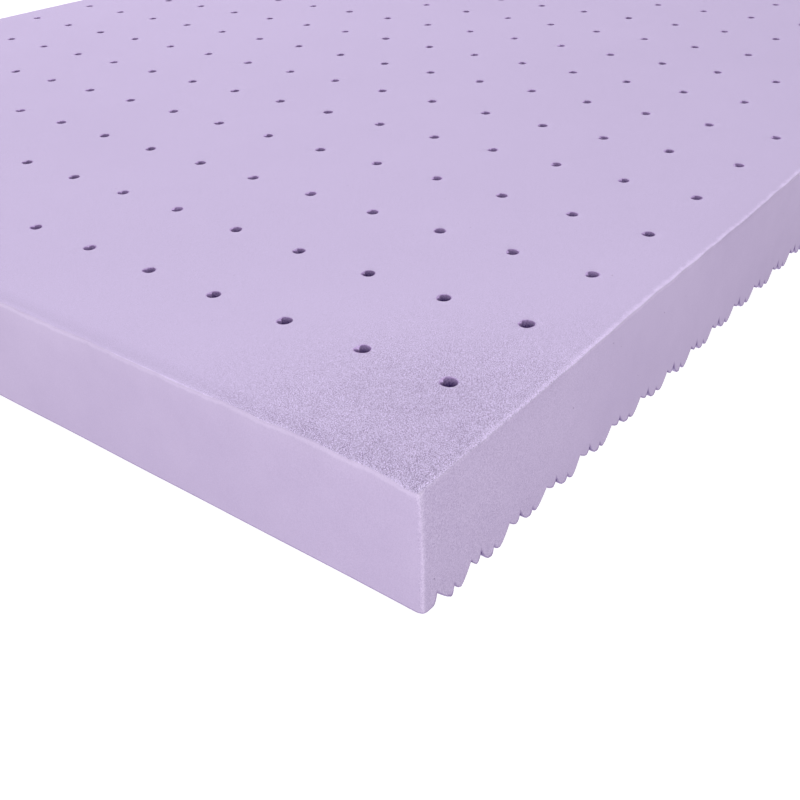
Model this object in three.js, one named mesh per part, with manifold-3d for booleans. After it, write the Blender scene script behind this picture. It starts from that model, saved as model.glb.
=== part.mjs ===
// A bare foam mattress slab: one long flat piece of foam with a grid of round vent holes punched
// through it and a ridged underside. Millimetres, +Z up. X runs along the length, Y across the width.
// The origin is the middle of the bottom of the bounding box, on the surface that the ridges stand on.

import * as THREE from 'three';
import { mergeGeometries, mergeVertices } from 'three/addons/utils/BufferGeometryUtils.js';
import Module from 'manifold-3d';

// Driving dimensions of the slab

const LENGTH = 1905;
const WIDTH = 965;
const HEIGHT = 83;

// Driving dimensions of the vent holes, measured from the low X and low Y edges of the slab

const HOLE_DIAMETER = 10;
const HOLE_PITCH_X = 79;
const HOLE_PITCH_Y = 58.75;
const FIRST_HOLE_X = 84;
const FIRST_HOLE_Y = 44;
const HOLES_ALONG = 23;
const HOLES_ACROSS = 16;
const HOLE_SIDES = 4;
const PUNCH_OVERRUN = 5;

// The ridges run across the width. A point's `along` is measured from the groove that starts its
// repeat, and its `rise` is the height above the surface that the slab stands on.

const RIDGE_PITCH = 39;

const RIDGE_REPEAT = [
  { feature: 'deep groove', along: 0, rise: 11.9 },
  { feature: 'tooth', along: 6, rise: 6.2 },
  { feature: 'narrow groove', along: 10.2, rise: 11.4 },
  { feature: 'ridge, near edge of its flat crest', along: 18.2, rise: 0 },
  { feature: 'ridge, far edge of its flat crest', along: 30.2, rise: 0 },
];

// The slab's near end is cut through a tooth, so the underside starts with what is left of that tooth.

const FIRST_DEEP_GROOVE = 42.3;

const CUT_TOOTH = [
  { feature: 'cut end of the tooth', along: 0, rise: 5.6 },
  { feature: 'far edge of the tooth', along: 8.2, rise: 5.6 },
];

const foam = new THREE.MeshStandardMaterial({ color: 0xc9bade, roughness: 0.95, metalness: 0 });

/** The underside's points from end to end: the cut tooth, then the ridge repeats, then the cut far end. */
function undersidePoints() {
  const points = [...CUT_TOOTH];
  const toothEnd = CUT_TOOTH[CUT_TOOTH.length - 1].along;
  for (let start = FIRST_DEEP_GROOVE - RIDGE_PITCH; start < LENGTH + RIDGE_PITCH; start += RIDGE_PITCH) {
    for (const { along, rise } of RIDGE_REPEAT) {
      if (start + along > toothEnd) {
        points.push({ along: start + along, rise });
      }
    }
  }
  const firstPast = points.findIndex((point) => point.along >= LENGTH);
  const before = points[firstPast - 1];
  const past = points[firstPast];
  const share = (LENGTH - before.along) / (past.along - before.along);
  const farEnd = { along: LENGTH, rise: THREE.MathUtils.lerp(before.rise, past.rise, share) };
  return [...points.slice(0, firstPast), farEnd];
}

/** The slab without its holes: the side outline carried straight across the width. */
function slabGeometry() {
  const outline = new THREE.Shape();
  outline.moveTo(0, HEIGHT);
  for (const { along, rise } of undersidePoints()) {
    outline.lineTo(along, rise);
  }
  outline.lineTo(LENGTH, HEIGHT);
  outline.closePath();
  const geometry = new THREE.ExtrudeGeometry(outline, { depth: WIDTH, bevelEnabled: false });
  geometry.rotateX(Math.PI / 2);
  geometry.translate(-LENGTH / 2, WIDTH / 2, 0);
  return geometry;
}

/** One punch for each vent hole: a prism whose section has the area of the round hole. */
function punchGeometry() {
  const angle = (2 * Math.PI) / HOLE_SIDES;
  const radius = (HOLE_DIAMETER / 2) * Math.sqrt(angle / Math.sin(angle));
  const depth = HEIGHT + 2 * PUNCH_OVERRUN;
  const punches = [];
  for (let column = 0; column < HOLES_ALONG; column++) {
    for (let row = 0; row < HOLES_ACROSS; row++) {
      const punch = new THREE.CylinderGeometry(radius, radius, depth, HOLE_SIDES, 1, false, angle / 2);
      punch.rotateX(Math.PI / 2);
      punch.translate(
        -LENGTH / 2 + FIRST_HOLE_X + column * HOLE_PITCH_X,
        -WIDTH / 2 + FIRST_HOLE_Y + row * HOLE_PITCH_Y,
        HEIGHT / 2,
      );
      punches.push(punch);
    }
  }
  return mergeGeometries(punches);
}

const wasm = await Module();
wasm.setup();

/** A closed geometry as a solid that can be cut. */
function solidOf(geometry) {
  const bare = geometry.clone();
  bare.deleteAttribute('normal');
  bare.deleteAttribute('uv');
  const merged = mergeVertices(bare);
  const vertProperties = new Float32Array(merged.attributes.position.array);
  const triVerts = new Uint32Array(merged.index.array);
  return new wasm.Manifold(new wasm.Mesh({ numProp: 3, vertProperties, triVerts }));
}

/** A solid as a geometry with flat faces. */
function geometryOf(solid) {
  const mesh = solid.getMesh();
  const indexed = new THREE.BufferGeometry();
  indexed.setAttribute('position', new THREE.BufferAttribute(mesh.vertProperties, 3));
  indexed.setIndex(new THREE.BufferAttribute(mesh.triVerts, 1));
  const geometry = indexed.toNonIndexed();
  geometry.computeVertexNormals();
  return geometry;
}

const mattress = new THREE.Group();

const punchedSlab = solidOf(slabGeometry()).subtract(solidOf(punchGeometry()));
const foamSlab = new THREE.Mesh(geometryOf(punchedSlab), foam);
foamSlab.name = 'foam_slab';
mattress.add(foamSlab);

export default mattress;
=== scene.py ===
# %% [markdown]
# # A bare foam mattress slab
# The real thing is one piece of slow-recovery foam: a long flat slab, cut from a block, with ridges cut
# into its underside and a grid of vent holes punched through it. The frame below is the same slab at its
# real size with plain faces. This lesson keeps its sizes and builds the foam itself: cut edges that are
# never quite straight, holes with torn rims, rounded ridges and an open-cell grain.

import math

import bmesh
import bpy
import numpy as np
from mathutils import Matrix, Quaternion, Vector


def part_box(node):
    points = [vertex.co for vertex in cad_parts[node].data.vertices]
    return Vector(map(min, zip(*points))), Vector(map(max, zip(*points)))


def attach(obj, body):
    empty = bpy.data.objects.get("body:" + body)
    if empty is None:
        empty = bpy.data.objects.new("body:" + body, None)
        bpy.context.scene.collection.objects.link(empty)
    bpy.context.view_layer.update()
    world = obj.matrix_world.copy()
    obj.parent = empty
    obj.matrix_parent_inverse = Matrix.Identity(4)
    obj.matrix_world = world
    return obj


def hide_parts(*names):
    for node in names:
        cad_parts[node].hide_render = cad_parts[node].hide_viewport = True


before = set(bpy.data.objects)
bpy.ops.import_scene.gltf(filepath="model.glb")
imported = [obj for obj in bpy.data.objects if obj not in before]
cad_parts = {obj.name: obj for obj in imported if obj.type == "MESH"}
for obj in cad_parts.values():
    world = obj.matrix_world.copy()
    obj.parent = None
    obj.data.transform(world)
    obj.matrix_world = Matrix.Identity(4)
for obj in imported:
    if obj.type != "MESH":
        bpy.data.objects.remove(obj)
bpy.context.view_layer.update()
MM = 0.001
slab_low, slab_high = (np.array(corner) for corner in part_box("foam_slab"))
LENGTH, WIDTH, HEIGHT = slab_high - slab_low
print(f"slab {LENGTH:.3f} x {WIDTH:.3f} x {HEIGHT:.3f} m")

# %% [markdown]
# One way to shape foam is to sculpt or cut a block with modifiers. A block cut by hundreds of holes gets
# long thin faces, though, and they shade badly. So the foam is built from sheets instead: whole numpy
# arrays of points, joined into faces by index arithmetic. Sheets that meet share the same points, and one
# weld at the end closes the foam. Everything is worked out in the slab's own plan: x from the near end, y
# from the near long side, z from the surface it stands on.

# %% A place to collect sheets of points and faces
TOP, SIDE, UNDERSIDE, HOLE_WALL = range(4)
sheets = []


def add_sheet(points, faces, finish):
    """Keeps a sheet and gives its number of faces. Points is (n, 3), and faces is (m, 3) or (m, 4) rows
    of point numbers."""
    sheets.append((np.asarray(points, float).reshape(-1, 3), np.asarray(faces), finish))
    return len(faces)


def grid_faces(rows, columns, closed=False):
    """Quads of a grid of points numbered row by row. Each joins a point to the next in its row and to the
    two beside them in the row after, and closed joins the last column to the first."""
    row, column = np.meshgrid(np.arange(rows - 1), np.arange(columns - (not closed)), indexing="ij")
    after = (column + 1) % columns
    here, above = row * columns, (row + 1) * columns
    return np.stack([here + column, here + after, above + after, above + column], -1).reshape(-1, 4)


print(len(grid_faces(3, 4)), "faces in a grid of 3 by 4 points,", len(grid_faces(3, 4, True)), "if closed")

# %% [markdown]
# The ridges are what shows most. A contour blade cuts them, so every repeat has the same three lobes: a
# small tooth, a middle ridge and a tall ridge, with sharp grooves between. They could be sine waves, but
# the real ones lean: the blade enters each lobe on a long slope and leaves it steeply. A table of grooves
# and tips, each with the power of its slope, keeps that shape and can be read like a drawing.

# %% Ridges: the pattern that repeats
RIDGE_PITCH = 39 * MM
FIRST_DEEP_GROOVE = 42.3 * MM

# name, distance from the deep groove (mm), rise above the floor (mm), is it a tip, steps to the next
# point, and the power of the slope up to the next point
RIDGE_REPEAT = [
    ("deep groove", 0.0, 11.0, False, 3, 1.25),
    ("tooth", 6.6, 6.1, True, 3, 2.8),
    ("narrow groove", 9.9, 11.0, False, 4, 1.9),
    ("middle ridge", 19.9, 1.2, True, 3, 3.6),
    ("shallow groove", 22.8, 4.9, False, 3, 1.8),
    ("tall ridge", 28.9, 0.4, True, 4, 1.4),
]
print(len(RIDGE_REPEAT), "grooves and tips in each repeat of", RIDGE_PITCH / MM, "mm")

# %% Ridges: the ones seen best
# The near end is cut through a tooth, so the pattern starts with what is left of it. The rows are as
# above, with the distance measured from the near end and no names.
CUT_END = [
    (-39.0, 5.3, True, 1, 1.0),
    (7.4, 5.2, True, 4, 3.2),
    (11.7, 12.0, False, 4, 1.15),
    (24.0, 0.0, True, 3, 3.6),
    (26.7, 6.0, False, 3, 1.6),
    (33.2, 0.0, True, 5, 1.3),
]

# distance from the near end and rise (mm) of the six points of each of the next repeats
NEAR_REPEATS = [
    [42.2, 11.4, 47.6, 5.0, 51.6, 11.2, 61.8, 0.0, 64.4, 5.0, 70.8, 0.5],
    [79.9, 11.0, 86.9, 5.8, 91.0, 11.0, 101.3, 1.7, 104.3, 4.9, 108.5, 1.7],
    [119.1, 11.0, 126.4, 6.4, 129.8, 11.0, 140.0, 1.6, 143.3, 4.9, 149.6, 0.2],
    [157.6, 11.2, 165.6, 6.4, 169.3, 11.0, 180.0, 1.5, 182.8, 4.8, 187.6, 1.1],
    [197.4, 10.8, 205.0, 6.6, 208.0, 11.0, 219.0, 2.4, 221.6, 4.6, 227.5, 1.2],
    [237.0, 11.0, 244.6, 6.3, 247.6, 11.0, 256.8, 1.6, 260.5, 5.0, 267.6, 1.0],
]
print("own shapes for the first", len(NEAR_REPEATS), "repeats after the cut tooth")

# %% Ridges: every groove and tip from end to end
RIDGE_WOBBLE = np.array([0.7, 0.5])  # the most that a point is off its place, along and up (mm)


def turning_points():
    """Along and rise (m), is-it-a-tip, steps and power of every groove and tip. The near ones are as
    listed, and the others repeat the pattern, each a little off its place."""
    repeats = int(math.ceil(LENGTH / RIDGE_PITCH)) + 1
    pattern = np.array([row[1:] for row in RIDGE_REPEAT], float)
    table = np.tile(pattern, (repeats, 1, 1))
    starts = FIRST_DEEP_GROOVE / MM + RIDGE_PITCH / MM * np.arange(repeats)
    wobble = np.random.default_rng(7).uniform(-1, 1, table.shape[:2] + (2,)) * RIDGE_WOBBLE
    table[:, :, :2] += wobble
    table[:, :, 0] += starts[:, None]
    table[: len(NEAR_REPEATS), :, :2] = np.reshape(NEAR_REPEATS, (-1, 6, 2))
    table = np.concatenate([CUT_END, table.reshape(-1, 5)])
    table[:, 1] = np.maximum(table[:, 1], 0)
    table[:, :2] *= MM
    return table[table[:, 0] < LENGTH + RIDGE_PITCH / 2]


turns = turning_points()
print(len(turns), "grooves and tips from end to end")

# %% [markdown]
# Between a tip and a groove the height follows a power of the distance from the tip. A power near 1 is a
# straight slope. A high power stays flat for long and then turns up sharply into the groove.

# %% Ridges: height of the underside
def underside_rise(x):
    """Height of the underside at x: between a tip and a groove it climbs with the distance from the tip,
    as a share of the slope's width, to the slope's power."""
    after = np.clip(np.searchsorted(turns[:, 0], x, side="right"), 1, len(turns) - 1)
    left, right = turns[after - 1], turns[after]
    share = np.clip((x - left[..., 0]) / (right[..., 0] - left[..., 0]), 0, 1)
    power = left[..., 4]
    from_left = np.where(left[..., 2] > 0, share**power, 1 - (1 - share) ** power)
    return left[..., 1] + (right[..., 1] - left[..., 1]) * from_left


mean_rise = underside_rise(np.linspace(0, LENGTH, 2000)).mean()
print(f"the ridged side is {mean_rise / MM:.1f} mm off the floor on average")

# %% [markdown]
# The vent holes stand on an even grid, and a round punch made them. Cutting them with Booleans would leave
# ragged faces at every ridge. Here the mesh is planned round them instead: each hole has 24 points, and
# columns of points run across the whole slab through all the holes of a line. The underside uses these
# columns too, so hole and ridges meet point for point. Each groove that crosses a hole gets a hole point.

# %% Vent holes: their places and points
HOLE_RADIUS = 5 * MM
HOLE_PITCH = np.array([79, 58.75]) * MM
FIRST_HOLE = np.array([84, 44]) * MM
HOLE_COUNT = (23, 16)
HOLE_POINTS = 24
WITHIN_HOLE = 0.93  # a groove gets a hole point if it is this near the centre, as a share of the radius
hole_x = FIRST_HOLE[0] + HOLE_PITCH[0] * np.arange(HOLE_COUNT[0])
hole_y = FIRST_HOLE[1] + HOLE_PITCH[1] * np.arange(HOLE_COUNT[1])


def hole_angles():
    """Angles of each hole column's 24 points. The upper half's points are even, but the one nearest to each
    groove or tip is moved onto it, and the lower half mirrors them."""
    even = np.linspace(0, np.pi, HOLE_POINTS // 2 + 1)
    angles = np.tile(even, (HOLE_COUNT[0], 1))
    for column, centre in enumerate(hole_x):
        offset = (turns[:, 0] - centre) / HOLE_RADIUS
        inside = np.arccos(offset[np.abs(offset) < WITHIN_HOLE])
        nearest = np.abs(even[1:-1, None] - inside).argmin(0) + 1
        angles[column, nearest] = inside
    return np.concatenate([angles, -angles[:, -2:0:-1]], 1)


angles = hole_angles()
centres = np.stack(np.meshgrid(hole_x, hole_y, indexing="ij"), -1)
around = np.stack([np.cos(angles), np.sin(angles)], -1)[:, None]
print(centres[..., 0].size, "holes of", HOLE_POINTS, "points each")

# %% Columns of points that run across the width
CORNER_RADIUS = 1.4 * MM
UNDERSIDE_MARGIN = 3 * MM
CLEAR_OF_HOLE = 0.3 * MM
CLEAR_OF_MARGIN = 1 * MM


def strip_columns():
    """Places along x of all columns: samples of the lobes outside the holes, the holes' own points inside
    them, and both ends."""
    left, right = turns[:-1], turns[1:]
    most = int(turns[:, 3].max())
    part = np.arange(most)[:, None] / left[:, 3]
    samples = (left[:, 0] + part * (right[:, 0] - left[:, 0]))[part < 1]
    edge = UNDERSIDE_MARGIN + CLEAR_OF_MARGIN
    samples = samples[(samples > edge) & (samples < LENGTH - edge)]
    nearest_hole = np.abs(samples[:, None] - hole_x).min(1)
    clear = samples[nearest_hole > HOLE_RADIUS + CLEAR_OF_HOLE]
    on_holes = hole_x[:, None] + HOLE_RADIUS * np.cos(angles[:, : HOLE_POINTS // 2 + 1])
    ends = [CORNER_RADIUS, UNDERSIDE_MARGIN, LENGTH - UNDERSIDE_MARGIN, LENGTH - CORNER_RADIUS]
    return np.sort(np.concatenate([ends, clear, on_holes.ravel()]))


columns = strip_columns()
print(len(columns), "columns, closest", round(float(np.diff(columns).min()) / MM, 3), "mm")

# %% [markdown]
# The top is flat with a hole in each cell of the grid. A flat face with 368 holes in it can't be shaded or
# bent well, so each cell is a small polar patch: rings of 24 points that change from the cell's
# rectangle to the hole's round rim. All patches are made in one go as one array.

# %% Top: the cells round the holes
TOP_MARGIN = 12 * MM
RIM_RADIUS = 0.6 * MM
PATCH_RINGS = (0.0, 0.8, 1.0)  # shares of the way from the cell's outline to the rim


def cell_edges(holes, size):
    """Sides of the cells along one axis: halfway between holes, and a margin inside the slab's edges."""
    middles = (holes[1:] + holes[:-1]) / 2
    return np.concatenate([[TOP_MARGIN], middles, [size - TOP_MARGIN]])


def rectangle_loop(low, high, per_side):
    """Points round each rectangle, counterclockwise from the middle of its high x side: the loop of a unit
    square, scaled to low..high."""
    quarter = np.linspace(0, 1, per_side + 1)[:-1]
    ones, zeros = np.ones(per_side), np.zeros(per_side)
    loop_x = np.concatenate([ones, 1 - quarter, zeros, quarter])
    loop_y = np.concatenate([quarter, ones, 1 - quarter, zeros])
    unit = np.roll(np.stack([loop_x, loop_y], -1), -per_side // 2, axis=0)
    return low[..., None, :] + (high - low)[..., None, :] * unit


edges_x, edges_y = cell_edges(hole_x, LENGTH), cell_edges(hole_y, WIDTH)
cell_low = np.stack(np.meshgrid(edges_x[:-1], edges_y[:-1], indexing="ij"), -1)
cell_high = np.stack(np.meshgrid(edges_x[1:], edges_y[1:], indexing="ij"), -1)
cell_outline = rectangle_loop(cell_low, cell_high, HOLE_POINTS // 4)
print("cells of", np.round((cell_high - cell_low)[1, 1] / MM, 2), "mm inside a margin of", TOP_MARGIN / MM)

# %% Top: one polar patch in each cell
def many_grids(blocks, finish):
    """Adds a block of closed grids, shape (grids, rows, columns, 3), as one sheet."""
    count, rows, across = blocks.shape[:3]
    one = grid_faces(rows, across, closed=True)
    faces = one + (np.arange(count) * rows * across)[:, None, None]
    return add_sheet(blocks, faces.reshape(-1, 4), finish)


def top_patches():
    """Grids (hole, ring, point, 3): a ring lies a share of the way from the cell's outline to the rim."""
    rim = centres[:, :, None] + (HOLE_RADIUS + RIM_RADIUS) * around
    rings = np.stack([cell_outline + (rim - cell_outline) * share for share in PATCH_RINGS], 2)
    patches = np.concatenate([rings, np.full(rings.shape[:-1] + (1,), HEIGHT)], -1)
    return patches.reshape(-1, len(PATCH_RINGS), HOLE_POINTS, 3)


print(many_grids(top_patches(), TOP), "faces of top")

# %% [markdown]
# Below the rim a hole is a plain tube to the underside. Its rim isn't sharp, because foam rounds off where
# a punch pushed it in. A Bevel modifier would round the ridges as well, so the rim is three rings of the
# tube itself. The lowest ring takes the ridges' height, so each wall ends on the ridges' own surface.

# %% Hole walls: a rounded rim, then straight down to the ridges
RIM_ROLL = np.array([1.0, 0.29, 0.0])  # how far out each ring lies, and read backwards how deep
WALL_RING_DEPTH = 14 * MM


def hole_walls():
    """Grids (hole, ring, point, 3) from the rim's outer ring down to where the wall meets the underside."""
    radius = np.concatenate([HOLE_RADIUS + RIM_RADIUS * RIM_ROLL, [HOLE_RADIUS, HOLE_RADIUS]])
    depth = np.concatenate([RIM_RADIUS * RIM_ROLL[::-1], [WALL_RING_DEPTH, HEIGHT]])
    plan = centres[:, :, None, None] + radius[:, None, None] * around[:, :, None]
    z = np.broadcast_to((HEIGHT - depth)[:, None], plan.shape[:-1]).copy()
    z[:, :, -1] = underside_rise(plan[:, :, -1, :, 0])
    return np.concatenate([plan, z[..., None]], -1).reshape(-1, len(depth), HOLE_POINTS, 3)


print(many_grids(hole_walls(), HOLE_WALL), "faces of hole walls")

# %% [markdown]
# The underside is the ridges, run straight across the width. It is cut into strips that lie between the
# rows of holes. Two strips share an edge, and a hole is where that edge draws apart into its two halves.
# That leaves no face to cut, and the ridges' columns pass through every strip unbroken.

# %% Underside: strips that draw apart at the holes
CLOSED_CHORD = 0.001 * MM
low_xs = columns[(columns >= UNDERSIDE_MARGIN) & (columns <= LENGTH - UNDERSIDE_MARGIN)]


def underside_strips():
    """Grids (strip, side, column, 3). A strip runs from one row of holes to the next, and each of its sides
    bends away from a hole's centre by half the hole's chord at that column."""
    offset = np.abs(low_xs[:, None] - hole_x).min(1)
    chord = np.sqrt(np.clip(HOLE_RADIUS**2 - offset**2, 0, None))
    chord[chord < CLOSED_CHORD] = 0
    first = np.full((1, len(low_xs)), UNDERSIDE_MARGIN)
    last = np.full((1, len(low_xs)), WIDTH - UNDERSIDE_MARGIN)
    low = np.concatenate([first, hole_y[:, None] + chord])
    high = np.concatenate([hole_y[:, None] - chord, last])
    y = np.stack([low, high], 1)
    x = np.broadcast_to(low_xs, y.shape)
    return np.stack([x, y, underside_rise(x)], -1)


strips = underside_strips()
strip_starts = np.arange(len(strips)) * 2 * len(low_xs)
strip_faces = grid_faces(2, len(low_xs))[:, ::-1] + strip_starts[:, None, None]
print(add_sheet(strips, strip_faces.reshape(-1, 4), UNDERSIDE), "faces of underside")

# %% [markdown]
# The cut sides are one ribbon round the whole slab: points round the outline, carried down through a row
# of insets and heights. An extruded outline with a bevel would come close, but the lower edge has to
# follow the ridges. So the ribbon takes the ridges' columns along the long sides, and its rows turn round
# the top arris, which is soft and about a millimetre wide.

# %% Sides: the outline in plan
CORNER_STEPS = 4
END_STEP = 4.5 * MM
CLOSE_UP = np.array([0.8, 1.6, 2.6]) * MM  # extra points on the ends, this far from the corners
ROUNDING_ERROR = 1e-9


def outline_points(inset):
    """Plan points round the slab at an inset, counterclockwise from the near corner: four straight sides
    joined by quarter circles, then pressed into the rectangle that lies inset from the slab's edges."""
    near, far_x, far_y = CORNER_RADIUS, LENGTH - CORNER_RADIUS, WIDTH - CORNER_RADIUS
    along = columns[(columns > near - ROUNDING_ERROR) & (columns < far_x + ROUNDING_ERROR)]
    across = np.linspace(near, far_y, int(WIDTH / END_STEP))
    across = np.sort(np.concatenate([across, near + CLOSE_UP, far_y - CLOSE_UP]))
    turn = np.linspace(0, np.pi / 2, CORNER_STEPS + 1)[1:-1]
    radius = max(CORNER_RADIUS - inset, 0)
    sides = (
        (along, np.full(len(along), inset), far_x, near, -np.pi / 2),
        (np.full(len(across), LENGTH - inset), across, far_x, far_y, 0),
        (along[::-1], np.full(len(along), WIDTH - inset), near, far_y, np.pi / 2),
        (np.full(len(across), inset), across[::-1], near, near, np.pi),
    )
    pieces = []
    for side_x, side_y, centre_x, centre_y, start in sides:
        arc = [centre_x + radius * np.cos(start + turn), centre_y + radius * np.sin(start + turn)]
        pieces += [np.stack([side_x, side_y], -1), np.stack(arc, -1)]
    return np.clip(np.concatenate(pieces), inset, np.array([LENGTH, WIDTH]) - inset)


print(len(outline_points(0)), "points round the outline")

# %% Sides: the ribbon
RIDGE_ARRIS = 0.35 * MM
TOP_ROWS = 2  # bands of the ribbon that belong to the top's finish

# inset from the side and depth below the top (mm): over the top, round the arris and down the side
RIBBON_ROWS = [(7.0, 0.0), (1.1, 0.0), (0.5, 0.13), (0.13, 0.5), (0.0, 1.1), (0.0, 7.0), (0.0, 42.0)]


def ribbon():
    """Grid (row, point, 3) through RIBBON_ROWS, ending round the ridges' own arris on the underside."""
    rows = []
    for inset, depth in RIBBON_ROWS:
        rows.append(np.insert(outline_points(inset * MM), 2, HEIGHT - depth * MM, axis=1))
    side, under = outline_points(0), outline_points(RIDGE_ARRIS)
    foot = underside_rise(under[:, 0])
    rows.append(np.column_stack([side, foot + RIDGE_ARRIS]))
    rows.append(np.column_stack([under, foot]))
    return np.stack(rows)


side_ribbon = ribbon()
ribbon_faces = grid_faces(*side_ribbon.shape[:2], closed=True)[:, ::-1]
top_faces = TOP_ROWS * side_ribbon.shape[1]
add_sheet(side_ribbon, ribbon_faces[:top_faces], TOP)
print(add_sheet(side_ribbon, ribbon_faces[top_faces:], SIDE), "faces of sides")

# %% [markdown]
# The ribbon's points don't match those on the edge of the top or of the underside, so quads can't join
# them. A zip does: it walks round both loops at once and makes a triangle at every step. Each point needs a
# place along the way, which is the number of its side plus the share of that side already passed.

# %% Zips: places round the outline
def side_gaps(x, y):
    """Distances from the four sides, in the order low y, high x, high y, low x."""
    return np.stack([y, LENGTH - x, WIDTH - y, x])


def place_round(plan):
    """Place of plan points round the outline, 0 up to 4: the nearest side's number plus the share of it
    already passed."""
    x, y = plan[:, 0], plan[:, 1]
    shares = np.stack([x / LENGTH, y / WIDTH, 1 - x / LENGTH, 1 - y / WIDTH])
    side = side_gaps(x, y).argmin(0)
    return side + shares[side, np.arange(len(x))]


def loop_of(xs, ys):
    """A closed rectangular loop through the given x and y places, counterclockwise, without repeats."""
    sides = [(xs, np.full(len(xs), ys[0])), (np.full(len(ys), xs[-1]), ys)]
    sides += [(xs[::-1], np.full(len(xs), ys[-1])), (np.full(len(ys), xs[0]), ys[::-1])]
    return np.concatenate([np.stack(side, -1)[:-1] for side in sides])


def loop_places(xs, ys):
    """Places round the outline of loop_of's points, with each corner exactly on a whole number."""
    shares = [xs / LENGTH, ys / WIDTH, 1 - xs[::-1] / LENGTH, 1 - ys[::-1] / WIDTH]
    return np.concatenate([np.concatenate([[n], n + share[1:-1]]) for n, share in enumerate(shares)])


print("places run from 0 to", round(float(place_round(side_ribbon[0, :, :2]).max()), 3))

# %% Zips: triangles between two loops
def zip_loops(outer, inner):
    """Triangles between two closed loops, each given by its sorted places round the outline, 0 up to 4.
    Each step along one loop makes a triangle with the point that was last passed on the other."""
    from_outer = (outer, inner, "left", 0, len(outer))
    from_inner = (inner, outer, "right", len(outer), 0)
    steps = []
    for mine, other, tie, first, second in (from_outer, from_inner):
        place = np.append(mine[1:], mine[0] + 4)
        wrapped = np.append(other, other[0] + 4)
        apex = (np.searchsorted(wrapped, place, side=tie) - 1) % len(other)
        here = np.arange(len(mine))
        steps.append(np.stack([first + here, first + (here + 1) % len(mine), second + apex], -1))
    return np.concatenate(steps)


def zip_to_ribbon(ribbon_row, xs, ys, rise, finish, facing_up):
    """Fills the band between a row of the ribbon and a rectangular loop through xs and ys."""
    places = place_round(ribbon_row[:, :2])
    order = np.argsort(places, kind="stable")
    plan = loop_of(xs, ys)
    inner = np.concatenate([plan, rise(plan[:, 0])[:, None]], -1)
    faces = zip_loops(places[order], loop_places(xs, ys))
    if not facing_up:
        faces = faces[:, ::-1]
    return add_sheet(np.concatenate([ribbon_row[order], inner]), faces, finish)


def subdivided(edges, parts):
    """The same places with parts - 1 even ones added in each gap."""
    share = np.arange(parts) / parts
    inner = edges[:-1, None] + share * np.diff(edges)[:, None]
    return np.append(inner.ravel(), edges[-1])


def top_level(x):
    """Height of the top at x, the same everywhere."""
    return np.full(len(x), HEIGHT)


top_xs, top_ys = subdivided(edges_x, HOLE_POINTS // 4), subdivided(edges_y, HOLE_POINTS // 4)
low_ys = np.concatenate([[UNDERSIDE_MARGIN], hole_y, [WIDTH - UNDERSIDE_MARGIN]])
above_count = zip_to_ribbon(side_ribbon[0], top_xs, top_ys, top_level, TOP, True)
below_count = zip_to_ribbon(side_ribbon[-1], low_xs, low_ys, underside_rise, UNDERSIDE, False)
print(above_count, "faces of top border,", below_count, "faces of bottom border")

# %% [markdown]
# So far the foam is a pile of loose sheets. Real foam is one piece without a seam, and an open edge would
# shade as a crack. Merging the points that lie on each other closes it, and counting the edges that don't
# have exactly two faces proves it.

# %% Weld the sheets into one closed mesh
WELD_DISTANCE = 5e-6
LEAST_EDGE = 1e-6


def weld(name):
    """One mesh of all sheets, with points that share a place merged and every face pointing outwards."""
    points = np.concatenate([sheet[0] for sheet in sheets])
    starts = np.cumsum([0] + [len(sheet[0]) for sheet in sheets[:-1]])
    faces = [row for start, sheet in zip(starts, sheets) for row in (sheet[1] + start).tolist()]
    mesh = bpy.data.meshes.new(name)
    mesh.from_pydata(points.tolist(), [], faces)
    finishes = np.concatenate([np.full(len(sheet[1]), sheet[2]) for sheet in sheets])
    mesh.polygons.foreach_set("material_index", finishes.astype(np.int32))
    shape = bmesh.new()
    shape.from_mesh(mesh)
    bmesh.ops.remove_doubles(shape, verts=shape.verts, dist=WELD_DISTANCE)
    bmesh.ops.dissolve_degenerate(shape, edges=shape.edges, dist=LEAST_EDGE)
    bmesh.ops.recalc_face_normals(shape, faces=shape.faces)
    open_edges = sum(1 for edge in shape.edges if len(edge.link_faces) != 2)
    shape.to_mesh(mesh)
    shape.free()
    print(len(mesh.vertices), "points,", len(mesh.polygons), "faces,", open_edges, "open edges")
    return mesh


foam_mesh = weld("foam_mattress")

# %% [markdown]
# Foam is soft and fed to the blades by hand, so nothing stays exact. The top swells by a fraction of a
# millimetre and rolls off at its edges, the cut sides wander, and the corners flare at the top. Displace
# modifiers with textures could do this, but every one of these shifts has its own cause and place. So each
# one is a formula of the point's position, and most of them fade with a bell curve.

# %% How the foam gives: waves and bells
def waves(seed, count, shortest, longest, *coordinates):
    """A soft random swell of about -1 to 1: the sum of count sines that run in random directions through
    the coordinates, with wavelengths from shortest to longest, over the square root of count."""
    draw = np.random.default_rng(seed)
    total = 0.0
    for _ in range(count):
        direction = draw.normal(size=len(coordinates))
        direction /= np.linalg.norm(direction)
        length = draw.uniform(shortest, longest)
        phase = draw.uniform(0, 2 * np.pi)
        along = sum(part * axis for part, axis in zip(direction, coordinates))
        total = total + np.sin(2 * np.pi * along / length + phase)
    return total / math.sqrt(count)


def bell(distance, reach):
    """1 at no distance, falling off as e to the power of minus the square of distance over reach."""
    return np.exp(-((distance / reach) ** 2))


def corner_distance(x, y):
    """Distance in plan from the nearest corner."""
    return np.hypot(np.minimum(x, LENGTH - x), np.minimum(y, WIDTH - y))


print("a bell is", bell(np.array([0, 1, 2]), 1).round(3), "at 0, 1 and 2 times its reach")

# %% How the foam gives: up and down
TOP_SWELL = 0.5 * MM
EDGE_SAG, SAG_REACH = 0.6 * MM, 8 * MM
CORNER_WEAR, WEAR_REACH, WEAR_HEIGHT = 1.8 * MM, 2.6 * MM, 16 * MM


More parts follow.
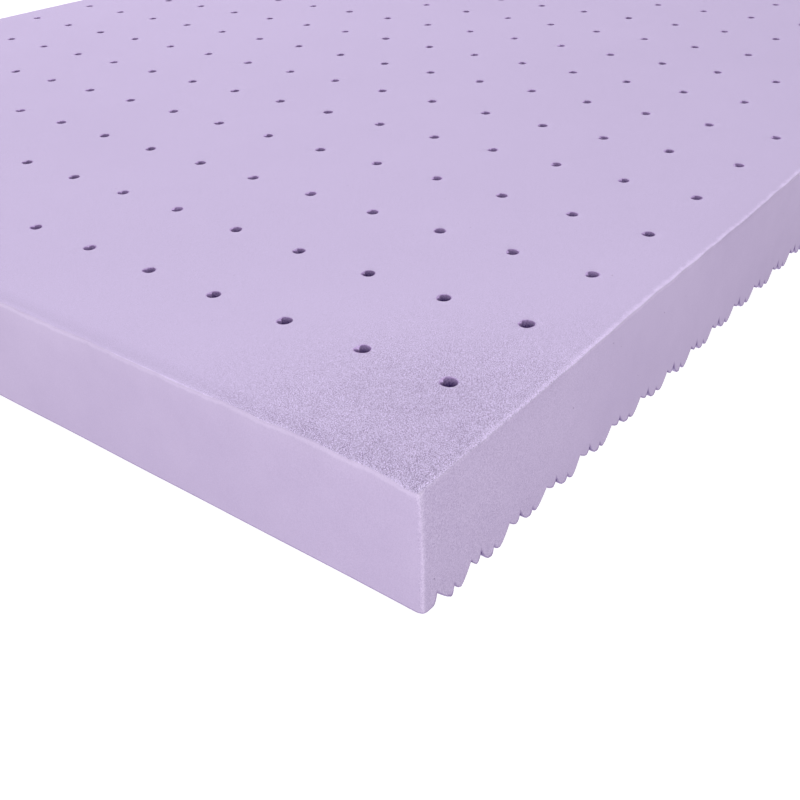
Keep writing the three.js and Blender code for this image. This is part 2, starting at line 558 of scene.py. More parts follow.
def top_lift(x, y, z):
    """Lift of points: a soft swell that grows with the square of the height, less a sag near the edges,
    and a lift of the corners' lower tips."""
    high = np.clip(z / HEIGHT, 0, 1) ** 2
    sag = EDGE_SAG * bell(side_gaps(x, y).min(0), SAG_REACH)
    worn = CORNER_WEAR * bell(corner_distance(x, y), WEAR_REACH) * np.clip(1 - z / WEAR_HEIGHT, 0, 1)
    return high * (TOP_SWELL * waves(11, 12, 0.11, 0.4, x, y) - sag) + worn


middle_lift = top_lift(*np.array([[LENGTH / 2], [WIDTH / 2], [HEIGHT]]))[0]
print(f"the middle of the top moves by {middle_lift / MM:.2f} mm")

# %% How the foam gives: the sides
SIDE_WANDER = 0.35 * MM
EDGE_RIPPLE, RIPPLE_DEPTH = 0.65 * MM, 0.06  # the depth is a share of the height, here and below
SIDE_REACH = 20 * MM
CORNER_FLARES = np.array([[3.2, 1.8], [2.2, 2.7]]) * MM  # by near or far end, then near or far long side
FLARE_REACH, FLARE_DEPTH, FLARE_POWER = 26 * MM, 0.34, 1.6
LONG_SIDE_LEAN = 1.7 * MM
LEAN_RISE, LEAN_FALL = (0.22, 0.42), (0.5, 0.9)  # where along the slab the lean comes and goes (m)
FOOT_SPREAD = 0.5 * MM


def side_shift(x, y, z):
    """Outward shift of the sides as (x shift, y shift): a slow wander, a ripple close to the top edge, a
    flare at the top of each corner, and the near long side's foot, which spreads out a little but leans
    inwards for a stretch."""
    near_side = bell(side_gaps(x, y), SIDE_REACH)
    from_top = (HEIGHT - z) / HEIGHT
    wander = SIDE_WANDER * waves(12, 14, 0.05, 0.3, x, y, z)
    ripple = EDGE_RIPPLE * waves(13, 16, 0.012, 0.05, x, y) * bell(from_top, RIPPLE_DEPTH)
    out_x = (near_side[1] - near_side[3]) * (wander + ripple)
    out_y = (near_side[2] - near_side[0]) * (wander + ripple / 2)
    amount = CORNER_FLARES[(x > LENGTH / 2).astype(int), (y > WIDTH / 2).astype(int)]
    fade = np.clip(1 - from_top / FLARE_DEPTH, 0, 1) ** FLARE_POWER
    flare = amount * bell(corner_distance(x, y), FLARE_REACH) * fade
    come = np.clip((x - LEAN_RISE[0]) / (LEAN_RISE[1] - LEAN_RISE[0]), 0, 1)
    go = np.clip((LEAN_FALL[1] - x) / (LEAN_FALL[1] - LEAN_FALL[0]), 0, 1)
    lean = LONG_SIDE_LEAN * come * go - FOOT_SPREAD
    return out_x + flare * np.sign(x - LENGTH / 2), out_y + near_side[0] * from_top * lean


corner_shift = np.ravel(side_shift(*np.zeros((2, 1)), np.array([HEIGHT])))
print("the near corner moves by", np.round(corner_shift / MM, 2), "mm")

# %% [markdown]
# A punch doesn't cut foam cleanly. Each rim is a little ragged, and the punch left a small torn tongue on
# the same side of nearly every hole. The tongue could be a separate flap, but on the real foam it is part
# of the rim, so here rim points slide inwards to a tip. The holes nearest the corner have their own
# tongues, and the others draw theirs at random from a fixed seed.

# %% How the foam gives: a hole's ragged rim and its closing mouth
HOLE_DRAWS = 9  # random numbers for each hole
RIM_TEAR, RIM_REACH, TEAR_DEPTH = 0.3 * MM, 0.5 * MM, 20 * MM
MOUTH_REACH = 1.5 * MM
LEAST_CLOSED, MOST_CLOSED = 0.02, 0.2
CLOSING = np.array([0.06, 0.05])  # how much more a mouth closes from one hole to the next, along and across


def rim_tear(column, row, draw, reach, turn, depth):
    """Share of its distance from the hole's centre that a point moves outwards: a sum of sines round the
    hole, over the distance, less the share by which the mouth closes away from the near corner."""
    outside = np.maximum(reach - HOLE_RADIUS, 0)
    sines = [np.sin(times * turn + 2 * np.pi * draw[times]) / times for times in (1, 2, 3, 5)]
    ragged = RIM_TEAR * sum(sines) * bell(outside, RIM_REACH) * bell(depth, TEAR_DEPTH)
    closed = np.clip(CLOSING[0] * column + CLOSING[1] * row, LEAST_CLOSED, MOST_CLOSED)
    mouth = bell(outside, MOUTH_REACH) * bell(depth, TEAR_DEPTH)
    return ragged / np.maximum(reach, MM) - closed * mouth


print("mouths close by", LEAST_CLOSED, "to", MOST_CLOSED, "of their radius")

# %% How the foam gives: a hole's torn tongue
TONGUE_DEPTH = 6 * MM
TONGUE_SIDE, TONGUE_TURN = math.radians(95), math.radians(40)
TONGUE_WIDTH, MORE_WIDTH = math.radians(30), math.radians(24)
TONGUE_TIP = np.array([-0.25, 0.12])  # from the centre, in hole radii
TIP_SPREAD = np.array([0.4, 0.3])
NO_TONGUE = 0.1  # share of the holes that tore clean
LEAST_TONGUE, MORE_TONGUE = 0.45, 0.5
# sizes at the near corner: a row for each line of holes from the near end, along the width
TONGUES_SEEN = np.array([
    [0.9, 1.0, 1.0, 0.7],
    [0.6, 0.5, 0.8, 0.8],
    [0.7, 0.7, 0.15, 0.6],
    [0.6, 0.6, 0.5, 0.6],
])


def tongue_slide(column, row, draw, reach, turn, depth):
    """Share of the way to the tongue's tip that a point slides, and the tip's place from the hole's centre.
    The share is the tongue's size in the middle of its width, and falls evenly to 0 at both sides."""
    size = np.where(draw[0] < NO_TONGUE, 0, LEAST_TONGUE + MORE_TONGUE * draw[0])
    seen = (column < len(TONGUES_SEEN)) & (row < len(TONGUES_SEEN))
    size[seen] = TONGUES_SEEN[column[seen], row[seen]]
    side = TONGUE_SIDE + TONGUE_TURN * (draw[4] - 0.5)
    width = TONGUE_WIDTH + MORE_WIDTH * draw[6]
    off_side = np.abs((turn - side + np.pi) % (2 * np.pi) - np.pi)
    rim = bell(np.maximum(reach - HOLE_RADIUS, 0), RIM_REACH)
    slide = size * np.clip(1 - off_side / width, 0, 1) * rim * bell(depth, TONGUE_DEPTH)
    tip_x = HOLE_RADIUS * (TONGUE_TIP[0] + TIP_SPREAD[0] * (draw[7] - 0.5))
    tip_y = HOLE_RADIUS * (TONGUE_TIP[1] + TIP_SPREAD[1] * (draw[8] - 0.5))
    return slide, tip_x, tip_y


def hole_shift(x, y, z):
    """Shift of points near a hole as (x shift, y shift): its tear and its tongue together."""
    column, row = np.abs(x[:, None] - hole_x).argmin(1), np.abs(y[:, None] - hole_y).argmin(1)
    own = column * HOLE_COUNT[1] + row
    dx, dy = x - hole_x[column], y - hole_y[row]
    draw = np.random.default_rng(21).uniform(size=(HOLE_COUNT[0] * HOLE_COUNT[1], HOLE_DRAWS))[own].T
    given = (column, row, draw, np.hypot(dx, dy), np.arctan2(dy, dx), HEIGHT - z)
    tear = rim_tear(*given)
    slide, tip_x, tip_y = tongue_slide(*given)
    return tear * dx + slide * (tip_x - dx), tear * dy + slide * (tip_y - dy)


print(TONGUES_SEEN.size, "tongues have their own size, from", TONGUES_SEEN.min(), "to", TONGUES_SEEN.max())

# %% [markdown]
# Now all the shifts are added and the mesh takes its place in the frame. One thing more is kept on the
# way. Where a cut side ends at the ridges, a thin rim of painted shade darkens it. A material can't work
# out how far that winding edge is, but the mesh can, so each point keeps its height above it as an
# attribute. Behind the narrow and the shallow grooves the next ridge shades the side higher up, so the
# painted rim is wider there.

# %% Settle the mesh into a real piece of foam
GROOVE_REACH = 2.6 * MM
# The dark rim is painted shade.
MORE_RIM = 2.0  # how much wider the dark rim is at a shaded groove
SHARP_ANGLE = math.radians(40)
shaded_grooves = np.concatenate([turns[2::6, 0], turns[4::6, 0]])


def rim_width(x):
    """How wide the rim of painted shade is at x: 1 on the ridges, and more by a bell at each shaded groove.
    """
    from_groove = np.abs(x[..., None] - shaded_grooves).min(-1)
    return 1 + MORE_RIM * bell(from_groove, GROOVE_REACH)


def settle(mesh):
    """Moves the mesh's points by all the shifts and from the slab's plan to the frame's place. Each point
    keeps its height above the ridged underside, over the width of the rim of painted shade, as an attribute."""
    flat = np.empty(len(mesh.vertices) * 3)
    mesh.vertices.foreach_get("co", flat)
    x, y, z = flat.reshape(-1, 3).T
    above_foot = mesh.attributes.new("above_foot", "FLOAT", "POINT")
    above_foot.data.foreach_set("value", ((z - underside_rise(x)) / rim_width(x)).astype(np.float32))
    side_x, side_y = side_shift(x, y, z)
    hole_dx, hole_dy = hole_shift(x, y, z)
    moved = np.stack([x + side_x + hole_dx, y + side_y + hole_dy, z + top_lift(x, y, z)], -1) + slab_low
    mesh.vertices.foreach_set("co", moved.ravel().astype(np.float32))
    mesh.update()


settle(foam_mesh)
foam_mesh.polygons.foreach_set("use_smooth", np.ones(len(foam_mesh.polygons), bool))
foam_mesh.set_sharp_from_angle(angle=SHARP_ANGLE)
mattress = bpy.data.objects.new("foam_mattress", foam_mesh)
bpy.context.scene.collection.objects.link(mattress)
print(sum(len(face.vertices) - 2 for face in foam_mesh.polygons), "triangles")

# %% [markdown]
# The foam is one colour all through, so what tells its faces apart is how they were cut. The top shows
# open cells and the sides were sliced smooth. Along every cut edge a light line is painted as a highlight,
# and shade is painted into the grooves, the holes and a rim along the ridges. Painted images would need a
# layout for every face. Instead each effect is a node group that puts out numbers. A material adds them
# up and uses the sum to mix a deep and a pale lavender.

# %% Helpers for node trees
def wire(tree, kind, inputs, **settings):
    """Adds a node of a kind: settings are its own options, and each input is a socket to link or a value."""
    node = tree.nodes.new(kind)
    for option, value in settings.items():
        setattr(node, option, value)
    for key, value in inputs.items():
        if isinstance(value, bpy.types.NodeSocket):
            tree.links.new(value, node.inputs[key])
        else:
            node.inputs[key].default_value = value
    return node


def maths(tree, operation, *values):
    """The result of a Math node on sockets or numbers."""
    return wire(tree, "ShaderNodeMath", dict(enumerate(values)), operation=operation).outputs[0]


def remap(tree, value, low, high, new_low=0.0, new_high=1.0, shape="SMOOTHSTEP"):
    """Value carried from low..high to new_low..new_high, held at the ends."""
    ends = {"Value": value, "From Min": low, "From Max": high, "To Min": new_low, "To Max": new_high}
    return wire(tree, "ShaderNodeMapRange", ends, interpolation_type=shape).outputs["Result"]


def noise(tree, place, scale, detail=2.0, roughness=0.5):
    """A noise value, about 0.5 with most of it from 0.3 to 0.7; scale is in features per metre."""
    inputs = {"Vector": place, "Scale": scale, "Detail": detail, "Roughness": roughness}
    return wire(tree, "ShaderNodeTexNoise", inputs).outputs["Fac"]


def new_group(name, inputs, outputs):
    """An empty node group. Inputs are {name: default}, where None makes a vector; outputs are names."""
    tree = bpy.data.node_groups.new(name, "ShaderNodeTree")
    for label, default in inputs.items():
        kind = "NodeSocketVector" if default is None else "NodeSocketFloat"
        socket = tree.interface.new_socket(label, in_out="INPUT", socket_type=kind)
        if default is not None:
            socket.default_value = default
    for label in outputs:
        tree.interface.new_socket(label, in_out="OUTPUT", socket_type="NodeSocketFloat")
    return tree, tree.nodes.new("NodeGroupInput").outputs, tree.nodes.new("NodeGroupOutput").inputs


print("helpers for nodes, sums, ranges, noises and groups")

# %% [markdown]
# The grain is the foam's own open cells, cut through. A Voronoi texture looks like cells close up, but at
# this size single cells are too fine to see, and a noise gives the same dark and light grain. A second,
# coarser noise gathers it a little. A noise is weakest on the planes of its own lattice, which would show
# as smooth patches on a flat top, so the pattern is turned off the slab's axes.

# %% Node group: open cells
OFF_AXES = (0.61, 0.47, 0.29)
FINE_RANGE, CLUMP_RANGE = (0.34, 0.66), (0.34, 0.62)
LEAST_CLUMP = 0.75


def open_cells_group():
    """Grain of the cut cells: a fine noise spread to 0..1, times a coarse noise that gathers it in clumps.
    Both outputs are the grain about 0 times the amount, so where it fades the surface is smooth too."""
    inputs = {"Place": None, "Cells": 1100, "Clumps": 55, "Amount": 0.1}
    tree, given, result = new_group("open cells", inputs, ["Shade", "Height"])
    turned = wire(tree, "ShaderNodeMapping", {"Vector": given["Place"], "Rotation": OFF_AXES}).outputs[0]
    cells = noise(tree, turned, given["Cells"], detail=1.5, roughness=0.6)
    fine = remap(tree, cells, *FINE_RANGE, shape="LINEAR")
    clump = remap(tree, noise(tree, given["Place"], given["Clumps"]), *CLUMP_RANGE, LEAST_CLUMP, 1.0)
    grain = maths(tree, "MULTIPLY", maths(tree, "SUBTRACT", fine, 0.5), clump)
    strength = maths(tree, "MULTIPLY", grain, given["Amount"])
    tree.links.new(strength, result["Shade"])
    tree.links.new(strength, result["Height"])
    return tree


open_cells = open_cells_group()
print("open cells:", len(open_cells.nodes), "nodes")

# %% [markdown]
# Here and there a blade tears a whole cell out and leaves a pit. Pits as real dents would need far more
# points than they are worth. A Voronoi texture scatters them: each of its points is the middle of a
# possible pit, and only a share of the points gets one.

# %% Node group: pits
PIT_MIDDLE = 0.4  # the flat middle of a pit, as a share of its radius


def pits_group():
    """Sparse pits inside a small radius of the texture's points, for the share of points whose own random
    number is below Share. Both outputs are negative there, the shade by the amount."""
    inputs = {"Place": None, "Scale": 95, "Share": 0.3, "Radius": 0.05, "Amount": 0.3}
    tree, given, result = new_group("pits", inputs, ["Shade", "Height"])
    where = {"Vector": given["Place"], "Scale": given["Scale"]}
    cell = wire(tree, "ShaderNodeTexVoronoi", where, feature="F1").outputs
    own_number = wire(tree, "ShaderNodeSeparateColor", {0: cell["Color"]}).outputs[0]
    chosen = maths(tree, "LESS_THAN", own_number, given["Share"])
    inner = maths(tree, "MULTIPLY", given["Radius"], PIT_MIDDLE)
    dot = maths(tree, "MULTIPLY", remap(tree, cell["Distance"], inner, given["Radius"], 1.0, 0.0), chosen)
    darker = maths(tree, "MULTIPLY", given["Amount"], -1.0)
    tree.links.new(maths(tree, "MULTIPLY", dot, darker), result["Shade"])
    tree.links.new(maths(tree, "MULTIPLY", dot, -1.0), result["Height"])
    return tree


pits = pits_group()
print("pits:", len(pits.nodes), "nodes")

# %% [markdown]
# A rounded cut edge catches some light from the lamps, and a light line is painted along it as a
# highlight on top of that. An edge is often picked out by the mesh's Pointiness, but that is only as fine
# as the mesh, and these painted lines are finer. The slab is a plain block, so the distance to each of its
# edges follows from the place alone. The lines aren't the same all round: on the ends they lie just below
# the edge, and along the long sides they lie over it.

# %% Node group: cut edge
# The light band and the lines below are painted highlights along the cut edges.
LINE_DROP = 1.8 * MM  # how far below the ends' top edge the middle of the light band lies
# how many times thinner than Width each line is, or wider where the number is below 1
LINE_THIN = {"below long sides": 1.2, "below ends": 1.4, "over long sides": 0.7, "over ends": 12.0,
             "beside long sides": 2.2}
NOISE_RANGE = (0.3, 0.7)
RAGGED_SCALE, RAGGED_IN, RAGGED_OUT = 160, -1.3 * MM, 0.6 * MM
GLOW_DEPTH = 18 * MM
BEHIND_START, BEHIND_END = (1 * MM, 4 * MM), (5 * MM, 15 * MM)
CORNER_WHOLE, CORNER_GONE = 0.05, 0.24  # distances from a corner (m)
CORNER_NARROW = {"along": 1.05, "across": 1.25}
LONG_SIDE_RANGE = (1 * MM, 3 * MM)
MIX_NUMBERS = (2, 3)  # a Mix node's sockets for two numbers


def cut_edge_group():
    """Where a point is among the slab's edges, from its gaps to the nearest end, long side and top. The
    smallest gap tells which face it is on. Painted Top Highlight is 1 on a painted light line along the top
    edge and 0 from Width off it, as LINE_THIN narrows or widens it. Painted Upright Highlight does the same
    for the four upright edges. Both are ragged by a noise. Painted Glow is painted light that falls off
    below the ends' top edge, and Behind End is a band on the top behind it, where the top's finish paints
    shade and more pits. Corner is 1 at a corner and falls to 0 with the distance from it. Long Side is 1 on
    the long sides."""
    outputs = ["Top Line", "Painted Upright Highlight", "Painted Glow", "Behind End", "Corner", "Long Side"]
    tree, given, result = new_group("cut edge", {"Place": None, "Width": 3 * MM}, outputs)

    def scaled(gap, times):
        return maths(tree, "MULTIPLY", gap, times)

    def choose(test, no, yes):
        return wire(tree, "ShaderNodeMix", {0: test, MIX_NUMBERS[0]: no, MIX_NUMBERS[1]: yes}).outputs[0]

    def fading(distance, start, end):
        return remap(tree, distance, start, end, 1.0, 0.0)

    axes = wire(tree, "ShaderNodeSeparateXYZ", {0: given["Place"]}).outputs
    end_gap = maths(tree, "SUBTRACT", LENGTH / 2, maths(tree, "ABSOLUTE", axes["X"]))
    side_gap = maths(tree, "SUBTRACT", WIDTH / 2, maths(tree, "ABSOLUTE", axes["Y"]))
    top_gap = maths(tree, "SUBTRACT", HEIGHT, axes["Z"])
    on_end = maths(tree, "LESS_THAN", end_gap, side_gap)
    on_top = maths(tree, "LESS_THAN", top_gap, maths(tree, "MINIMUM", end_gap, side_gap))

    off_band = maths(tree, "ABSOLUTE", maths(tree, "SUBTRACT", top_gap, LINE_DROP))
    below_side = scaled(top_gap, LINE_THIN["below long sides"])
    below_edge = choose(on_end, below_side, scaled(off_band, LINE_THIN["below ends"]))
    over_end = scaled(end_gap, LINE_THIN["over ends"])
    over_edge = maths(tree, "MINIMUM", over_end, scaled(side_gap, LINE_THIN["over long sides"]))
    beside_edge = choose(on_end, end_gap, scaled(side_gap, LINE_THIN["beside long sides"]))
    rough = noise(tree, given["Place"], RAGGED_SCALE, detail=3.0, roughness=0.65)
    ragged = remap(tree, rough, *NOISE_RANGE, RAGGED_IN, RAGGED_OUT, "LINEAR")
    top_highlight = maths(tree, "ADD", choose(on_top, below_edge, over_edge), ragged)
    upright_highlight = maths(tree, "ADD", choose(on_top, beside_edge, 1.0), ragged)
    tree.links.new(fading(top_highlight, 0.0, given["Width"]), result["Top Line"])
    tree.links.new(fading(upright_highlight, 0.0, given["Width"]), result["Painted Upright Highlight"])

    # Painted light: the ends are paler just below their top edge, fading out over GLOW_DEPTH.
    painted_glow = fading(maths(tree, "ADD", top_gap, ragged), 0.0, GLOW_DEPTH)
    tree.links.new(maths(tree, "MULTIPLY", painted_glow, on_end), result["Painted Glow"])
    # Behind End is where the top gets painted shade and more pits, just behind the ends' edges.
    rise = remap(tree, maths(tree, "ADD", end_gap, ragged), *BEHIND_START)
    tree.links.new(maths(tree, "MULTIPLY", rise, fading(end_gap, *BEHIND_END)), result["Behind End"])
    along = maths(tree, "POWER", scaled(end_gap, CORNER_NARROW["along"]), 2.0)
    across = maths(tree, "POWER", scaled(side_gap, CORNER_NARROW["across"]), 2.0)
    reach = maths(tree, "SQRT", maths(tree, "ADD", along, across))
    tree.links.new(fading(reach, CORNER_WHOLE, CORNER_GONE), result["Corner"])
    tree.links.new(fading(side_gap, *LONG_SIDE_RANGE), result["Long Side"])
    return tree


cut_edge = cut_edge_group()
print("cut edge:", len(cut_edge.nodes), "nodes")

# %% [markdown]
# A block of foam isn't quite even inside, so a cut face is faintly cloudy. One noise for broad clouds and
# a finer one for small ones are enough, and their sum is kept about 0 so that it doesn't shift the colour.

# %% Node group: cloudy colour
FINER = 6.0
CLOUD_SPREAD = 4.0  # brings a noise that stays within 0.3 to 0.7 to about -1 to 1


def cloudy_group():
    """Broad faint clouds of paler and deeper foam: a soft noise about 0, plus half of a finer one."""
    tree, given, result = new_group("cloudy", {"Place": None, "Scale": 9, "Amount": 0.1}, ["Shade"])
    finer_scale = maths(tree, "MULTIPLY", given["Scale"], FINER)
    broad = maths(tree, "SUBTRACT", noise(tree, given["Place"], given["Scale"]), 0.5)
    small = maths(tree, "SUBTRACT", noise(tree, given["Place"], finer_scale), 0.5)
    both = maths(tree, "ADD", broad, maths(tree, "MULTIPLY", small, 0.5))
    spread = maths(tree, "MULTIPLY", given["Amount"], CLOUD_SPREAD)
    tree.links.new(maths(tree, "MULTIPLY", both, spread), result["Shade"])
    return tree


cloudy = cloudy_group()
print("cloudy:", len(cloudy.nodes), "nodes")

# %% [markdown]
# Light that goes into a groove or a hole comes out a deeper colour, because it bounces off foam again and
# again. The renderer does the bounces, and on top of them a depth mask paints shade into the grooves and
# holes, and a rim of painted shade where the sides meet the ridges. An Ambient Occlusion node would find
# hollows by itself, but it is slow and grainy. Height is enough here.

# %% Node group: hollows
GROOVE_RANGE = (1 * MM, 10 * MM)
MOUTH_RANGE = (-0.5 * MM, 5 * MM)
FOOT_HEIGHT = 1.6 * MM


def hollows_group():
    """Masks for painted shade: how deep a point lies in a groove or a hole. Groove is 0 at the ridges' tips
    and 1 at the grooves' bottoms, by height over the floor. Hole is near 0 at either mouth of a hole and 1
    from 5 mm inside it. Foot is 1 where a side ends at the ridges and falls to 0 above them, for a rim of
    painted shade."""
    tree, given, result = new_group("hollows", {"Place": None}, ["Groove", "Hole", "Foot"])
    height = wire(tree, "ShaderNodeSeparateXYZ", {0: given["Place"]}).outputs["Z"]
    tree.links.new(remap(tree, height, *GROOVE_RANGE), result["Groove"])
    inside = maths(tree, "MINIMUM", maths(tree, "SUBTRACT", HEIGHT, height), height)
    tree.links.new(remap(tree, inside, *MOUTH_RANGE, shape="LINEAR"), result["Hole"])
    above_foot = wire(tree, "ShaderNodeAttribute", {}, attribute_name="above_foot").outputs["Fac"]
    tree.links.new(remap(tree, above_foot, 0.0, FOOT_HEIGHT, 1.0, 0.0), result["Foot"])
    return tree


hollows = hollows_group()
print("hollows:", len(hollows.nodes), "nodes")

# %% [markdown]
# Every finish of the foam is the same sum with other amounts, so one function builds them all. The sum
# mixes two colours, and the same grain and pits raise the surface through a Bump node. Foam has no shine:
# it is rough, with almost no specular. The grain is strong near the corners and faint in the middle.

# %% One function for every foam finish
DEEP_LAVENDER = (0.31, 0.235, 0.43, 1)
PALE_LAVENDER = (0.79, 0.675, 0.95, 1)
MIX_COLOURS, MIXED_COLOUR = (6, 7), 2  # a Mix node's sockets for two colours and for the result
MORE_PITS_BEHIND_END = 0.6
SPECK_SCALE, SPECK_RADIUS = 170.0, 0.07
CLUMP_SCALE = 80
PIT_DEPTH = 2.0  # against the grain's height


def foam_material(name, level, shades, cells=1300, pit_share=0.2, speck_share=0.0, bump=0.3 * MM,
                  deep=DEEP_LAVENDER, pale=PALE_LAVENDER):
    """Sums the groups' outputs, each times its own amount in shades, about a level, and mixes the deep and
    the pale lavender by the sum. The grain's amount grows towards the corners by the corner grain, and more
    on the long sides by the long side grain."""
    material = bpy.data.materials.new(name)
    material.use_nodes = True
    tree = material.node_tree
    shader = tree.nodes["Principled BSDF"].inputs
    place = wire(tree, "ShaderNodeTexCoord", {}).outputs["Object"]

    def group(part, **values):
        return wire(tree, "ShaderNodeGroup", {"Place": place, **values}, node_tree=part).outputs

    edge, cloud, hollow = group(cut_edge), group(cloudy), group(hollows)
    long_side_grain, corner_grain = shades.get("long side grain", 0.0), shades.get("corner grain", 0.0)
    rougher = maths(tree, "MULTIPLY_ADD", edge["Long Side"], long_side_grain, corner_grain)
    amount = maths(tree, "MULTIPLY_ADD", edge["Corner"], rougher, shades["grain"])
    grain = group(open_cells, Cells=cells, Clumps=CLUMP_SCALE, Amount=amount)
    pitted = maths(tree, "MULTIPLY_ADD", edge["Behind End"], MORE_PITS_BEHIND_END, pit_share)
    pit = group(pits, Share=pitted, Amount=1.0)
    speck = group(pits, Share=speck_share, Scale=SPECK_SCALE, Radius=SPECK_RADIUS, Amount=1.0)
    parts = {
        # painted highlights along the top edges and the upright edges
        "painted top highlight": edge["Top Line"],
        "painted upright highlight": edge["Painted Upright Highlight"],
        # painted light just below the ends' top edge
        "painted_glow": edge["Painted Glow"],
        # painted shade on the top just behind the ends' edges
        "painted shade behind end": edge["Behind End"],
        "cloud": cloud["Shade"],
        "pit": pit["Shade"],
        "speck": speck["Shade"],
        # painted shade, deeper down in the grooves and holes
        "groove": hollow["Groove"],
        "hole": hollow["Hole"],
        # painted shade in a rim where the sides meet the ridges
        "foot": hollow["Foot"],
    }
    total = maths(tree, "ADD", grain["Shade"], level)
    for part, socket in parts.items():
        if part in shades:
            total = maths(tree, "MULTIPLY_ADD", socket, shades[part], total)
    colours = {0: total, MIX_COLOURS[0]: deep, MIX_COLOURS[1]: pale}
    mix = wire(tree, "ShaderNodeMix", colours, data_type="RGBA")
    tree.links.new(mix.outputs[MIXED_COLOUR], shader["Base Color"])
    height = maths(tree, "MULTIPLY_ADD", pit["Height"], PIT_DEPTH, grain["Height"])
    relief = wire(tree, "ShaderNodeBump", {"Strength": 1.0, "Distance": bump, "Height": height})
    tree.links.new(relief.outputs["Normal"], shader["Normal"])
    shader["Roughness"].default_value = 0.95
    shader["Specular IOR Level"].default_value = 0.05
    return material


print("pale lavender", PALE_LAVENDER[:3], "over deep lavender", DEEP_LAVENDER[:3])

# %% [markdown]
# The four finishes, in the order of the faces' numbers. The top has a fine strong grain whose cells turn to
# a dark dull violet, painted highlights along its edges and painted shade behind the ends. The sides are
# smooth with a few pits and specks, painted highlights at their edges, painted light below the ends' top
# edge and a rim of painted shade at the ridges. The ridges and the hole walls turn to a deep violet inside
# as painted shade. The levels of the top and the sides were fitted apart to how bright each face comes out
# under these lamps, so part of the difference between them is painted shade. Four materials built by hand
# would soon drift apart, but here only these numbers differ, so they stay one foam.

# %% The four foam finishes
CELL_SHADOW = (0.10, 0.065, 0.17, 1)
HOLE_SHADOW = (0.06, 0.03, 0.14, 1)
# The hole walls' pale colour is a shaded violet: painted shade, like HOLE_SHADOW.
HOLE_LAVENDER = (0.74, 0.55, 0.92, 1)
SIDE_LAVENDER = (0.79, 0.68, 0.9, 1)
# How much of each effect a finish adds. More of it is paler foam, except that a pit's own value is
# negative, and a speck is a pit turned pale. The highlights and the glow are painted light, and the shade
# behind the end, the groove, the hole and the foot are painted shade.
TOP_SHADES = {"grain": 0.22, "corner grain": 1.35, "painted top highlight": 0.2, "painted shade behind end": -0.04, "cloud": 0.07,
              "pit": 0.4}
SIDE_SHADES = {"grain": 0.07, "corner grain": 0.06, "long side grain": 0.25, "painted top highlight": 0.15,
               "painted upright highlight": 0.11, "painted_glow": 0.04, "cloud": 0.4, "pit": 0.5, "speck": -0.12, "foot": -0.5}
RIDGE_SHADES = {"grain": 0.12, "cloud": 0.5, "pit": 0.3, "groove": -0.6}
HOLE_SHADES = {"grain": 0.3, "hole": -0.6}
# Each level is partly painted shade: the top's and the sides' were fitted apart to their faces' brightness.
finishes = [
    foam_material("foam top", 0.592, TOP_SHADES, cells=2900, bump=0.1 * MM, deep=CELL_SHADOW),
    foam_material("foam side", 0.45, SIDE_SHADES, pit_share=0.4, speck_share=0.2, pale=SIDE_LAVENDER),
    foam_material("foam ridges", 0.66, RIDGE_SHADES, deep=HOLE_SHADOW),
    foam_material("foam hole wall", 0.62, HOLE_SHADES, deep=HOLE_SHADOW, pale=HOLE_LAVENDER),
]
for finish in finishes:
    foam_mesh.materials.append(finish)
print([material.name for material in foam_mesh.materials])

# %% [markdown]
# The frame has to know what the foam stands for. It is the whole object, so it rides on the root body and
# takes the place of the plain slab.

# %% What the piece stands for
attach(mattress, "root")
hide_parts("foam_slab")
print(mattress.name, "rides on the root and replaces foam_slab")

# %% [markdown]
# The slab stands in a plain pale studio. A white floor alone would come out grey under light this soft,
# and stronger light would burn out the foam. So the floor glows by itself. It is wide, which keeps its
# edge far off, and only a low view shows the studio's plain grey above it.

# %% Floor
FLOOR_REACH = 40.0
FLOOR_GREY = (0.3, 0.3, 0.3, 1)
WHITE = (1, 1, 1, 1)
floor_mesh = bpy.data.meshes.new("floor")
floor_corners = [(x * FLOOR_REACH, y * FLOOR_REACH, 0) for x, y in ((-1, -1), (1, -1), (1, 1), (-1, 1))]
floor_mesh.from_pydata(floor_corners, [], [(0, 1, 2, 3)])
floor = bpy.data.objects.new("floor", floor_mesh)
bpy.context.scene.collection.objects.link(floor)
floor_paint = bpy.data.materials.new("pale floor")
floor_paint.use_nodes = True
floor_shader = floor_paint.node_tree.nodes["Principled BSDF"].inputs
floor_shader["Base Color"].default_value = FLOOR_GREY
floor_shader["Roughness"].default_value = 0.9
floor_shader["Emission Color"].default_value = WHITE
floor_shader["Emission Strength"].default_value = 0.9
floor_mesh.materials.append(floor_paint)
print("floor of", 2 * FLOOR_REACH, "m")

# %% [markdown]
# The light is soft and comes from all round. A large lamp high at the back does most of it and lights the
# top evenly. Three smaller ones shape the faces that point to the camera: the end is the lighter one, and
# the long side the darker. The lamps are hidden from the camera, so no view shows one as a white disk.

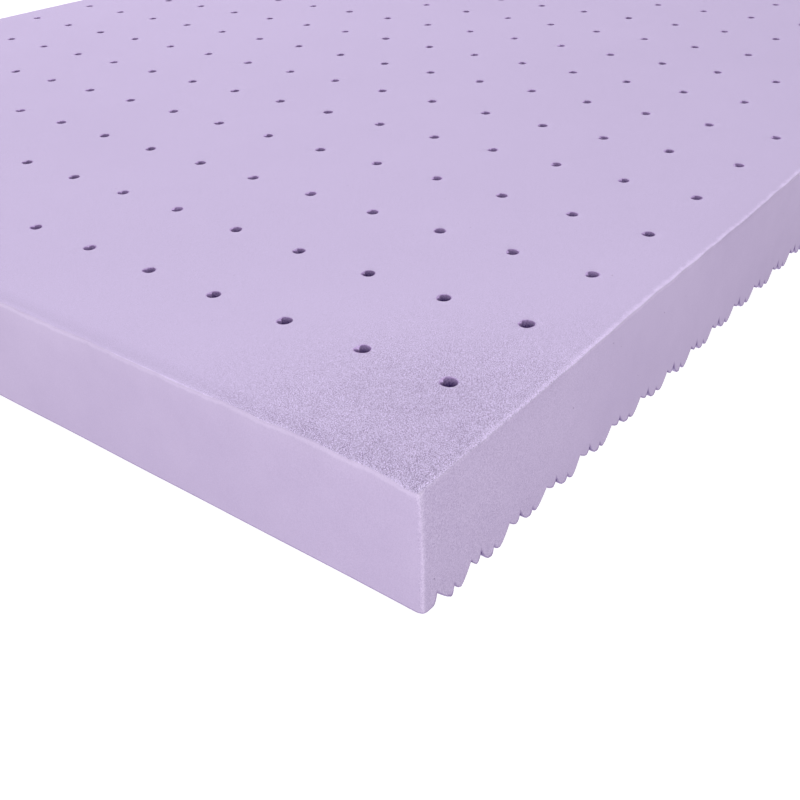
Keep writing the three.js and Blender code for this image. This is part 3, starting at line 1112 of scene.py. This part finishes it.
# %% Soft studio light
WORLD_STRENGTH = 0.35
LIGHT_TARGET = Vector((0.25, 0.2, -0.04))
near_corner = Vector((slab_low[0], slab_low[1], slab_high[2]))
world = bpy.data.worlds.new("studio")
world.use_nodes = True
world.node_tree.nodes["Background"].inputs["Color"].default_value = WHITE
world.node_tree.nodes["Background"].inputs["Strength"].default_value = WORLD_STRENGTH
bpy.context.scene.world = world
bpy.context.scene.view_settings.view_transform = "Standard"


def softbox(name, from_corner, size, watts):
    """A round area light at a place measured from the near corner, aimed at the foam just inside it."""
    light = bpy.data.lights.new(name, "AREA")
    light.shape = "DISK"
    light.size = size
    light.energy = watts
    lamp = bpy.data.objects.new(name, light)
    lamp.location = near_corner + Vector(from_corner)
    lamp.rotation_mode = "QUATERNION"
    lamp.rotation_quaternion = (LIGHT_TARGET - Vector(from_corner)).to_track_quat("-Z", "Y")
    lamp.visible_camera = False
    bpy.context.scene.collection.objects.link(lamp)
    return lamp


lamps = [
    softbox("back", (3.2, 2.7, 4.55), 3.5, 192),
    softbox("back left", (0.45, 1.8, 2.25), 1.6, 24.5),
    softbox("left low", (-2.0, 0.3, 0.45), 1.2, 4.1),
    softbox("front high", (-0.8, -0.68, 0.95), 1.0, 9.3),
]
print(len(lamps), "lamps and a world of", WORLD_STRENGTH)

# %% [markdown]
# The camera looks down on the near corner from close by. Its place follows from the grid of holes: an even
# grid in perspective fixes where it is seen from, as long as the spacing is known.

# %% Camera
CAMERA_FROM_CORNER = Vector((-306.3, -224.2, 292.9)) * MM
CAMERA_LOOKS = Vector((0.66642, 0.51365, -0.54041))
CAMERA_ROLL = math.radians(-0.94)
LENS_MM = 47.3
SENSOR_MM = 36
NEAREST_SEEN = 0.01
camera_data = bpy.data.cameras.new("camera")
camera_data.lens = LENS_MM
camera_data.sensor_width = SENSOR_MM
camera_data.clip_start = NEAREST_SEEN
camera = bpy.data.objects.new("camera", camera_data)
camera.location = near_corner + CAMERA_FROM_CORNER
camera.rotation_mode = "QUATERNION"
camera.rotation_quaternion = CAMERA_LOOKS.to_track_quat("-Z", "Y") @ Quaternion((0, 0, 1), CAMERA_ROLL)
bpy.context.scene.collection.objects.link(camera)
bpy.context.scene.camera = camera
print(f"camera {CAMERA_FROM_CORNER.length:.2f} m from the near corner")
